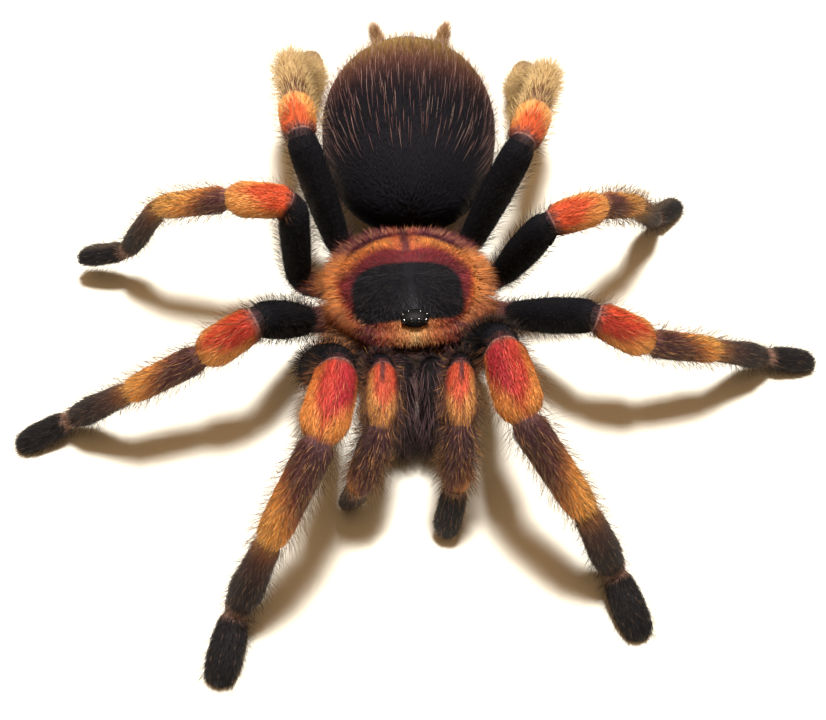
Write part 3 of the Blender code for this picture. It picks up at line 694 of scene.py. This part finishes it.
def shield_colours(m):
    """A sooty patch where |(x + 0.05) / 0.75| cubed plus |(y + 0.31) / 0.50| cubed, or to the sixth in front, is
    under 1, in a maroon plate. Its orange gold rim is broad at the sides, rusty across the back, and in front of
    the eyes a gold brow, palest in its middle."""
    x, y, across = m.side, m.top, abs(m.side)
    ahead = (y + 0.31) / -0.50
    patch = abs((x + 0.05) / 0.75) ** 3 + ahead.most(0) ** 6 + (ahead * -1).most(0) ** 3
    share = m.along / 1.3
    tilted, behind = x.times_plus(0.046, share), across.times_plus(-0.3, share)
    ring = tilted.bands((540, 160, 28, 36), (660, 270, 42, 42), (710, 600, 140, 45), (750, 800, 310, 80),
                        (810, 660, 240, 70), (950, 420, 150, 60))
    rear = behind.bands((100, 220, 45, 40), (200, 190, 30, 36), (310, 250, 36, 42), (370, 560, 150, 50),
                        (430, 860, 320, 85), (560, 800, 270, 70), (750, 450, 140, 60))
    outer = m.along.rise(0.76, 0.9) * y.rise(0.42, 0.72)
    rear = outer.between(rear, (0.15, 0.035, 0.05))
    rust = across.rise(0.3, 0.1) * behind.rise(0.33, 0.4, 0, 0.7)
    rear = rust.between(rear, (0.4, 0.075, 0.042))
    pit = across.rise(0.1, 0.02) * y.rise(0.36, 0.46, 0, 0.9)
    ring = y.rise(0, 0.4).between(ring, pit.between(rear, (0.11, 0.028, 0.035)))
    brow = across.bands((0, 780, 480, 220), (100, 660, 300, 110), (280, 520, 160, 60), (450, 360, 75, 45),
                        (580, 150, 30, 40), (800, 180, 42, 42), (920, 450, 150, 45))
    corner = y.rise(-0.3, -0.55) * tilted.rise(0.66, 0.72, 0, 0.55)
    ring = y.rise(-0.72, -0.80).between(corner.between(ring, (0.32, 0.06, 0.045)), brow)
    return patch.rise(0.78, 1.15).between((0.015, 0.0145, 0.018), ring)


SHIELD = hair_finish("shield_fur", shield_colours, strand=(0.55, 0.26, 0.12), streaks=1.7, root=0.75, gloss=0.12)
places = np.append(np.linspace(0.01, SHIELD_RIM, 44), (0.82, 0.9, 1))
points, u, v, faces = closed_skin(shield_all, 96, places)
share = np.sin(np.pi / 2 * np.minimum(v / SHIELD_RIM, 1))
shield = build("head_shield", points, faces, [SHIELD], tint=np.full(len(u), SKIN_TINT),
               comb=comb_mark(u, share * 10, SHIELD_COMB, 40), **shield_marks(u, share))
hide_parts("carapace")

# ---
# The eye mound and the eight eyes. A low, polished black turret near the front of the shield, with two rows of
# clear domed lenses let into it, the front middle pair the largest.
MOUND_SIZE = np.array([1.9, 1.35, 1])
MOUND_Y = -8
LENS_SINK = 0.3  # of its radius
EYES = {  # degrees round from straight ahead, degrees up, radius
    "front_inner": (24, 48, 0.36),
    "front_outer": (60, 20, 0.38),
    "rear_outer": (104, 24, 0.34),
    "rear_inner": (134, 52, 0.26),
}


def ball(centre, size):
    """A ball with these half sizes about a centre, its poles fore and aft."""
    return lambda u, v: centre + unit_ball(u, v, 0.01) * size


def polished(name, colour, rough, varnish=0.6, **dials):
    """Clear-coated horn, mottled faintly by a fine noise."""
    made, tree, shader = bare_finish(name)
    spot = place(tree, "TexCoord", output="Object")
    mottle = place(tree, "TexNoise", {"Vector": spot, "Scale": 2500, "Detail": 2})
    feed(shader, {"Base Color": mottle.between(tuple(0.5 * part for part in colour), colour), "Roughness": rough,
                  "Coat Weight": varnish, "Coat Roughness": 0.05})
    feed(shader, {dial.replace("_", " "): value for dial, value in dials.items()})
    return made


def horn_piece(name, shape, columns, places, finish, node):
    """A polished piece over a whole shape, in place of its solid."""
    points, u, v, faces = closed_skin(shape, columns, places)
    piece = build(name, points, faces, [finish])
    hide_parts(node)


def eye_way(out, around, above):
    """(out sin around cos above, -cos around cos above, sin above)."""
    a, b = math.radians(around), math.radians(above)
    return np.array((out * math.sin(a) * math.cos(b), -math.cos(a) * math.cos(b), math.sin(b)))


x, y, z = on_shield(np.array(-2 * MOUND_Y / SHIELD_LENGTH), np.array(0.75))
MOUND_CENTRE = turned(np.array((0, MOUND_Y, float(z) + 0.1)), -NOSE_UP, BODY_YAW, SHIELD_CENTRE)
MOUND_HORN = polished("mound_horn", (0.005, 0.0045, 0.005), 0.6, 0, Specular_IOR_Level=0.15)
LENS = polished("eye_lens", (0.006, 0.006, 0.009), 0.12, 0.6, Specular_IOR_Level=1, IOR=1.5)
horn_piece("eye_turret", ball(MOUND_CENTRE, MOUND_SIZE), 48, np.linspace(0.01, 0.99, 28), MOUND_HORN, "eye_mound")
for name, (around, above, radius) in EYES.items():
    for side, out in SIDES.items():
        way = eye_way(out, around, above)
        centre = MOUND_CENTRE + way * MOUND_SIZE - way * radius * LENS_SINK
        horn_piece(f"lens_{name}_{side}", ball(centre, np.full(3, radius)), 28, np.linspace(0.01, 0.99, 18), LENS,
                   f"eye_{name}_{side}")

# ---
# The fangs. Two polished, curved thorns folded back under the ends of the jaws.
FANG_HORN = polished("fang_horn", (0.02, 0.009, 0.006), 0.18)
FANG_RADIUS = 4.4  # of its bend
for side, out in SIDES.items():
    step = np.linspace(0, 6, 13)
    bend = np.radians(10 + 95 * step / 6)
    path = np.column_stack([0.3 + out * (2.3 - 0.15 * step), -19.9 + 0.9 * FANG_RADIUS * (1 - np.cos(bend)),
                            4.3 - 0.72 * FANG_RADIUS * np.sin(bend)])
    thick = 0.95 * (1 - step / 6.6)
    line = round_off(tube_line(path, distances(path), thick, thick * 0.9, 0.4), 0, 0.2)
    horn_piece(f"thorn_{side}", tube_shape(line), 24, np.linspace(0, 1, 40), FANG_HORN, f"fang_{side}")

# ---
# The coat of the limbs. Solid hairs rooted in the skin: a lying undercoat in locks that point to the claw, and
# thin straight bristles that stand out from it. Velvet on the femora, a shaggy flame on the knees, brushes on feet.
PATCH = 0.0015  # half of a hair's patch on the bake map
STEP_U, STEP_V = 0.7548776662, 0.5698402910  # one over the plastic number, and over its square
HAIR_FLOOR = 0.03  # no hair comes lower
FLATNESS, SINK = 0.5, 0.2
LOOSENESS = (0.22, 0.3)  # millimetres round and along, in a lock
SHORT_PALP, STEEP, DROOP, STEEP_DROOP = 0.85, 40, 0.6, 0.3
CORNERS = ((0, 1), (2.0944, -1), (4.1888, 0))  # thirds of a turn, and each one's place across the patch
ONE, TWO = (0.38,), (0.25, 0.62)  # the rings of a short hair and a long one


def lay(shape, u, v):
    """Points on a shape, the way out of it (onward x round) and the way that v grows, from small steps."""
    small = 0.002
    onward = unit(shape(u, np.minimum(v + small, 1)) - shape(u, np.maximum(v - small, 0)))
    outward = unit(np.cross(onward, shape(u + small, v) - shape(u - small, v)))
    return shape(u, v), outward, onward


def scatter(count, chance):
    """Even places in a unit square: multiples of two irrational steps, each nudged by part of the spacing."""
    number = np.arange(count)
    nudge = chance.uniform(-0.4, 0.4, (2, count)) / math.sqrt(max(count, 1))
    return (number * STEP_U + nudge[0]) % 1, np.clip((number * STEP_V) % 1 + nudge[1], 0, 1)


def in_locks(u, v, lock, spread_u, spread_v, chance):
    """So many hairs about each place, with the number of their lock."""
    number = np.repeat(np.arange(len(u)), lock)
    loose = 0 if lock == 1 else 1
    u = np.repeat(u, lock) + loose * chance.normal(0, spread_u, len(number))
    v = np.repeat(v, lock) + loose * chance.normal(0, spread_v, len(number))
    return u % 1, np.clip(v, 0, 1), number


def roots(u, v, along, lock, tile, comb, chance, red=0, out=1, pale=0):
    """Each hair's root: its place, marks and patch of the bake map. A tint of 1 is a pale strand's, and no other
    hair reaches that."""
    tint = 0.5 * chance.random(lock.max() + 1)[lock] + 0.5 * chance.random(len(u))
    tint = np.where(chance.random(len(u)) < pale, 1, 0.93 * tint)
    return {"u": u, "v": v, "lock": lock, "tile": np.clip(tile, 0.004, 0.996),
            "marks": place_marks(u, along, comb, tint, red, out)}


def grow(shape, root, length, lift, width, chance, rings=ONE, droop=DROOP, stray=0.25):
    """Each hair starts under the skin and goes on in straight parts. Its slope starts at lift and falls by the
    droop's share on the way to the tip, and it strays to one side, lock by lock. At each ring three corners stand
    round it, width across and flatter the other way, and the tip is one point."""
    start, outward, onward = lay(shape, root["u"], root["v"])
    count, lock = len(start), root["lock"]
    stray_of = stray * (chance.normal(size=lock.max() + 1)[lock] + 0.35 * chance.normal(size=count))
    lie = onward * np.cos(stray_of)[:, None] + np.cross(onward, outward) * np.sin(stray_of)[:, None]
    length, lift, width = (np.broadcast_to(part, count) for part in (length, np.radians(lift), width))
    length = length * chance.uniform(0.75, 1.2, count)
    lift = lift * (1 + 0.25 * chance.normal(size=lock.max() + 1)[lock]) + 0.05 * chance.normal(size=count)
    corners, shares, map_places = [start - outward * SINK], [0], [(0, -1)]
    here, reached = start, 0
    for share in (*rings, 1):
        slope = lift * (1 - droop * (reached + share) / 2)
        way = lie * np.cos(slope)[:, None] + outward * np.sin(slope)[:, None]
        here = here + way * (length * (share - reached))[:, None]
        reached = share
        if share == 1:
            break
        broad = unit(np.cross(way, outward))
        thin = np.cross(way, broad)
        half = (width / 2 * (1 if share <= 0.5 else 0.7))[:, None]
        for turn, place_u in CORNERS:
            corners.append(here + broad * half * math.cos(turn) + thin * half * FLATNESS * math.sin(turn))
            shares.append(share)
            map_places.append((place_u * 0.9, 1.6 * share - 0.8 + 0.15 * place_u))
    points = np.stack([*corners, here], 1)
    points[..., 2] = np.maximum(points[..., 2], HAIR_FLOOR)
    each = points.shape[1]
    faces = [(0, 2, 1), (0, 3, 2), (0, 1, 3)]
    for ring in range(len(rings) - 1):
        a, b = 1 + 3 * ring, 4 + 3 * ring
        for i, j in ((0, 1), (1, 2), (2, 0)):
            faces += [(a + i, a + j, b + j), (a + i, b + j, b + i)]
    a = each - 4
    faces += [(each - 1, a, a + 1), (each - 1, a + 1, a + 2), (each - 1, a + 2, a)]
    bake = root["tile"][:, None, :] + np.array([*map_places, (0, 1)])[None] * PATCH
    marks = {name: np.repeat(values, each, 0) for name, values in root["marks"].items()}
    marks["tip"], marks["bake"] = np.tile([*shares, 1], count), bake.reshape(-1, 2)
    numbers = (np.arange(count)[:, None, None] * each + np.array(faces)[None]).reshape(-1, 3)
    return {"points": points.reshape(-1, 3), "faces": [numbers], "marks": marks}


def coat_piece(name, batches, finish, slot):
    """Batches of hairs joined end to end as one piece."""
    points, faces, marks = joined(batches)
    build(name, points, faces, [finish], **marks)


def limb_place(line, label):
    """How far along the limb a label lies: its whole number's joint, plus its fraction of that segment."""
    knots, labels = np.append(line.knots, line.reach), np.append(line.labels, 6)
    segment = np.argmax(labels >= math.floor(label))
    return knots[segment] + (label - math.floor(label)) * (knots[segment + 1] - knots[segment])


def limb_roots(side, limb, first, last, density, chance, lock=1, pale=0):
    """Roots on a limb between two labels: density a square millimetre of mean girth times length. On the bake map
    the five limbs of a side lie side by side, each with its turn across and its length up."""
    line = LIMBS[side, limb]
    start, end = limb_place(line, first), limb_place(line, last)
    inside = (line.at >= start) & (line.at <= end)
    girth = 2 * np.pi * line.table[inside, 9:].mean()
    count = int(density * girth * (end - start) / lock)
    u, v = scatter(count, chance)
    u, v, number = in_locks(u, v, lock, LOOSENESS[0] / girth, LOOSENESS[1] / (end - start), chance)
    at = start + (end - start) * v
    row = list(HIPS).index(limb)
    tile = np.stack([(row + 0.02 + 0.96 * u) / 5, 0.01 + 0.98 * v], 1)
    comb = comb_mark(u, at, LIMB_COMB, row + (0 if side == "left" else len(HIPS)))
    return roots(u, at / line.reach, along_limb(line, at), number, tile, comb, chance, line.red,
                 line.out, pale)


def limb_coat(name, side, finish, slot, layers, seed, limbs):
    """Limbs of one side, in layers of (first label, last label, density, length, lift, width, rings, stray, pale
    share). Steep hairs droop less, and a palp's are shorter."""
    chance, batches = np.random.default_rng(seed), []
    for limb in limbs:
        shape = tube_shape(LIMBS[side, limb])
        for first, last, density, length, lift, width, rings, stray, pale in layers:
            root = limb_roots(side, limb, first, last, density, chance, 1, pale)
            size, droop = SHORT_PALP if limb == "palp" else 1, DROOP if lift < STEEP else STEEP_DROOP
            batches.append(grow(shape, root, length * size, lift, width, chance, rings, droop, stray))
    coat_piece(f"{name}_{side}", batches, finish, slot)


def fringe_colours(m):
    """Bristles are dark at the root. Their shafts are soot on the femora, rust on the knees, olive tan on the shins,
    brown on the feet, and tan all along the last legs."""
    share = m.along / 6
    shaft = share.bands((160, 100, 60, 40), (200, 22, 18, 14), (320, 22, 18, 14), (350, 200, 80, 35),
                        (480, 200, 90, 35), (520, 110, 70, 40), (620, 260, 150, 65), (700, 50, 38, 30),
                        (1000, 35, 30, 26))
    last = last_legs(m) * share.rise(0.33, 0.4)
    root = last.between((0.04, 0.024, 0.022), (0.4, 0.25, 0.11))
    return m.tip.rise(0, 0.5).between(root, last.between(shaft, (0.62, 0.43, 0.2)))


FRINGE = hair_finish("limb_bristles", fringe_colours, streaks=0.4, root=1, rough=0.7, gloss=0.1)
LIMB_COATS = (  # name, finish, slot, seed, limbs, layers
    ("coat_femora", FEMUR, "black_velvet", 11, HIPS, (
        (0, 1.93, 10.5, 0.8, 17, 0.095, ONE, 0.15, 0), (1.8, 2.01, 16, 0.7, 12, 0.09, ONE, 0.1, 0),
        (0, 1.1, 5, 2.3, 42, 0.07, TWO, 0.3, 0.1))),
    ("coat_knees", KNEE, "knee_orange", 21, HIPS, (
        (2.03, 3, 21, 1.1, 9, 0.085, ONE, 0.07, 0), (2.04, 2.3, 12, 1.2, 9, 0.085, ONE, 0.07, 0),
        (2.3, 2.95, 1.6, 2.3, 12, 0.055, TWO, 0.08, 0.3))),
    ("coat_shins", SHIN, "shin_brown", 31, HIPS, (
        (3, 4, 18.5, 1.2, 10, 0.09, ONE, 0.08, 0), (3, 3.95, 2.2, 2.5, 14, 0.06, TWO, 0.12, 0.5))),
    ("coat_feet", FOOT, "foot_brown", 41, HIPS, (
        (4, 5.95, 13.5, 0.95, 13, 0.09, ONE, 0.1, 0), (4, 4.95, 3, 1.7, 18, 0.055, ONE, 0.2, 0.6),
        (5, 5.85, 1.2, 1.3, 16, 0.055, ONE, 0.2, 0.5))),
    ("bristles_limbs", FRINGE, "shin_brown", 46, HIPS, (
        (1.05, 2, 3.4, 2.1, 54, 0.065, ONE, 0.2, 0), (2, 3, 3.4, 2.6, 54, 0.06, ONE, 0.2, 0),
        (3, 4, 5, 3, 52, 0.07, ONE, 0.2, 0))),
    ("bristles_feet", FRINGE, "foot_brown", 56, (1, 2, 3, 4), ((4, 5.9, 3.2, 2.2, 50, 0.055, ONE, 0.25, 0),)),
    ("fuzz_last_legs", FRINGE, "shin_brown", 52, (4,), ((3.15, 5.3, 7, 2, 40, 0.075, ONE, 0.4, 0),)),
    ("strands_palps", SHIN, "shin_brown", 48, ("palp",), (
        (1.3, 2, 3, 2.6, 45, 0.06, TWO, 0.3, 0.1), (2.3, 3, 1.6, 2.6, 30, 0.06, TWO, 0.3, 0.4),
        (3.2, 3.75, 3.4, 3, 30, 0.055, TWO, 0.25, 0.5), (2.6, 3.8, 4.4, 2.8, 52, 0.07, ONE, 0.3, 0.15))),
)
for number, side in enumerate(SIDES):
    for name, finish, slot, seed, limbs, layers in LIMB_COATS:
        limb_coat(name, side, finish, slot, layers, seed + number, limbs)

# ---
# The coat of the hind body. Short black velvet under long, fine, backswept bristles that are thickest behind.


def bristle_colours(m):
    """Rust brown at the root and dull pink along the shaft. The shaft is palest two thirds of the way up, where a
    painted highlight lies.
    """
    return m.tip.bands((0, 30, 20, 20), (300, 100, 45, 45), (650, 360, 170, 140), (1000, 200, 90, 75))


def shape_roots(count, chance, even, comb, low=0, high=1, pale=0, lock=1):
    """Roots over a whole shape: even turns a uniform share of its area into the way along it. The comb is its
    streaks' girth, reach and number, and how loosely hairs lie about their places."""
    girth, reach, number, spread = comb
    u, t = scatter(count // lock, chance)
    u, v, locks = in_locks(u, even(low + (high - low) * t), lock, spread, spread * 0.6, chance)
    tile = np.stack([0.01 + 0.98 * u, 0.01 + 0.98 * v], 1)
    return roots(u, v, v, locks, tile, comb_mark(u, v * reach, girth, number), chance, pale=pale)


def layer(shape, chance, even, comb, count, length, lift, width, low=0, high=1, pale=0, lock=1, **ways):
    """One layer of hairs over a whole shape, rooted and grown."""
    root = shape_roots(count, chance, even, comb, low, high, pale, lock)
    return grow(shape, root, length, lift, width, chance, **ways)


def even_egg(t):
    """Equal areas of a ball lie between equal steps of its axis: v = arccos(1 - 2 t) / pi."""
    return np.arccos(1 - 2 * t) / np.pi


def even_rear(t):
    """The same with more towards the spinnerets, as if (1 - t) were raised to 1.35."""
    return even_egg(1 - (1 - t) ** 1.35)


def egg_comb(number):
    """The hind body's comb."""
    return 12, 36, number, 0.004


BRISTLE = hair_finish("hind_bristle", bristle_colours, strand=(0.52, 0.34, 0.28), streaks=0.6, root=1, rough=0.5,
                      gloss=0.3)
chance = np.random.default_rng(51)
coat_piece("coat_hind_body", [
    layer(egg, chance, even_egg, egg_comb(50), 26000, 1, 15, 0.12, stray=0.12),
    layer(egg, chance, even_egg, egg_comb(52), 3800, 2.5, 52, 0.05, 0.25, stray=0.3),
    layer(egg, chance, even_egg, egg_comb(55), 700, 1.6, 12, 0.1, 0, 0.05, stray=0.1),
], ABDOMEN, "abdomen_fur")
coat_piece("bristles_hind_body", [
    layer(egg, chance, even_rear, egg_comb(51), 1450, 4.2, 15, 0.055, 0.12, 1, 0.22, rings=(0.2, 0.55, 0.8),
          droop=0.8, stray=0.06),
    layer(egg, chance, even_egg, egg_comb(54), 600, 2.3, 46, 0.045, 0.55, 1, 0.3, stray=0.2),
], BRISTLE, "abdomen_fur")
coat_piece("coat_spinnerets", [
    layer(tube_shape(SPINNERETS[side]), chance, lambda t: t, (1, 9, 53, 0.01), 2000, 2, 34, 0.06, 0, 0.97,
          0.15, stray=0.4) for side in SIDES
], SPINNERET, "spinneret_tan")

# ---
# The coat of the head shield. Close, short hair that lies out from the crown, longer and golden towards the rim,
# where it stands past the plate as a fringe, except in front. A few long fine hairs cross it all.


def even_shield(t):
    """Equal areas of a disc lie between equal steps of the square of its radius: v = 2 arcsin(root t) / pi."""
    return 2 * np.arcsin(np.sqrt(t)) / np.pi


RIM_LIFT = 42  # degrees more for the fringe
chance = np.random.default_rng(61)
batches = []
for count, length, longer, lift, width, rings, low, pale in (
        (17500, 0.7, 0.5, 11, 0.09, ONE, 0, 0), (5000, 3, 0, 20, 0.07, TWO, 0.82, 0.15),
        (1200, 2.2, 0, 45, 0.05, ONE, 0.74, 0.5)):
    root = shape_roots(count, chance, even_shield, (SHIELD_COMB, 10, 60, 0.005), low, 1, pale)
    share = np.sin(np.pi / 2 * root["v"])
    marks = shield_marks(root["u"], share)
    root["marks"].update(marks)
    behind = smooth_step(-0.8, -0.3, marks["top"])
    reach = (length + longer * share) * (1 - 0.6 * smooth_step(0.8, 0.9, share) * (1 - behind))
    steep = lift + RIM_LIFT * smooth_step(0.85, 1, share) * behind
    batch = grow(shield_top, root, reach, steep, width, chance, rings, stray=0.15)
    further = 1 + batch["marks"]["tip"] * np.repeat(reach / np.maximum(share, 0.2), len(rings) * 3 + 2) / 10.4
    for mark in ("along", "side", "top"):
        batch["marks"][mark] = batch["marks"][mark] * further
    batches.append(batch)
coat_piece("coat_head_shield", batches, SHIELD, "carapace_fur")
CURL = hair_finish("shield_curls", lambda m: m.tip.bands((0, 30, 25, 25), (1000, 85, 65, 55)),
                   strand=(0.12, 0.09, 0.08), streaks=0.4, root=1)
curls = layer(shield_top, chance, even_shield, (7, 10, 62, 0.005), 400, 2.4, 16, 0.035, 0, 0.85, rings=TWO,
              stray=0.5)
coat_piece("curls_head_shield", [curls], CURL, "carapace_fur")

# ---
# The coat of the jaws and the underside. Long, loose strands flow down over the jaws to the fangs. Beneath, the
# hips and the breastplate have a thin, dull coat.
chance = np.random.default_rng(71)
batches = []
# The last layer, long strands hanging from the ends of the jaws, is partly the jaws' own hair and partly a painted
# shadow: a dark tuft put where the floor in front of the jaws lies in shade.
for side in SIDES:
    for number, count, length, lift, width, low, high, pale, rings, stray in (
            (70, 5200, 1.4, 16, 0.1, 0, 1, 0, ONE, 0.12), (71, 560, 4.2, 20, 0.06, 0, 0.9, 0.75, TWO, 0.18),
            (73, 700, 4.6, 34, 0.07, 0.6, 1, 0.15, TWO, 0.3)):
        batches.append(layer(tube_shape(JAWS[side]), chance, lambda t: t, (2.2, 14, number, 0.015), count, length,
                             lift, width, low, high, pale, rings=rings, stray=stray))
coat_piece("coat_jaws", batches, JAW, "jaw_fur")
batches = []
for side in SIDES:
    for limb in HIPS:
        shape = tube_shape(LIMBS[side, limb])
        root = limb_roots(side, limb, -1, 0, 5, chance, 2)
        batches.append(grow(shape, root, 1.3, 28, 0.11, chance))
        root = limb_roots(side, limb, -0.5, 0, 3.2, chance)
        batches.append(grow(shape, root, 2.6, 45, 0.08, chance, TWO))
batches.append(layer(breastplate, chance, even_egg, (5, 17, 72, 0.01), 1200, 1.2, 32, 0.12, lock=2))
coat_piece("coat_underside", batches, UNDER, "under_brown")

# ---
# The set: a pale card underneath, a soft box nearly overhead, a broad warm ceiling, and the camera in front.
CARD_REACH = 2  # metres from the middle to each side
CAMERA_AROUND, CAMERA_UP, CAMERA_AWAY = -5.3, 53.6, 163.2  # degrees to the spider's right, degrees, millimetres
CAMERA_YAW, CAMERA_PITCH, CAMERA_ROLL = 0.38, -3.40, -2.75
LOOKED_AT = ON_FLOOR + (0, 0, 10)


def stand(name, data, axes, place_mm):
    """An object at a place, with its own right, up and back as the rows of axes."""
    made = bpy.data.objects.new(name, data)
    turn = np.eye(4)
    turn[:3, :3], turn[:3, 3] = np.transpose(axes), np.array(place_mm) * MM
    made.matrix_world = Matrix(turn.tolist())
    bpy.context.scene.collection.objects.link(made)
    return made


def soft_box(name, place_mm, size_mm, watts, colour):
    """A square lamp at a place, facing the middle of the floor."""
    lamp = bpy.data.lights.new(name, "AREA")
    lamp.size, lamp.energy, lamp.color = size_mm * MM, watts, colour
    away = unit(np.array(place_mm, float))
    right = unit(np.cross((0, 1, 0), away))
    stand(name, lamp, (right, np.cross(away, right), away), place_mm)


mesh = bpy.data.meshes.new("card")
corners = np.array([(-1, -1, 0), (1, -1, 0), (1, 1, 0), (-1, 1, 0)]) * CARD_REACH
mesh.from_pydata(corners.tolist(), [], [(0, 1, 2, 3)])
paper, tree, shader = bare_finish("pale_card")
feed(shader, {"Base Color": (0.92, 0.88, 0.76), "Roughness": 0.9})
mesh.materials.append(paper)
card = stand("card", mesh, np.eye(3), (0, 0, 0))

world = bpy.data.worlds.new("warm_fill")
world.use_nodes = True
feed(world.node_tree.nodes["Background"], {"Color": (1, 0.66, 0.38), "Strength": 0.10})
bpy.context.scene.world = world
soft_box("key_box", (12, 58, 416), 66, 3.4, (1, 0.99, 0.98))
soft_box("ceiling", (0, 0, 520), 500, 1, (1, 0.64, 0.34))

away = spin(2, CAMERA_AROUND) @ (0, -math.cos(math.radians(CAMERA_UP)), math.sin(math.radians(CAMERA_UP)))
right = unit(np.cross(-away, UP))
rows = np.array([right, np.cross(right, -away), -away])
rows = spin(2, CAMERA_ROLL) @ spin(0, CAMERA_PITCH) @ spin(1, -CAMERA_YAW) @ rows
lens = bpy.data.cameras.new("camera")
lens.lens, lens.sensor_width, lens.clip_start = 51.1, 36, 0.005
camera = stand("camera", lens, (rows[0], rows[1], -rows[2]), CAMERA_AWAY * away + LOOKED_AT)
bpy.context.scene.camera = camera
bpy.context.scene.view_settings.view_transform = "Standard"
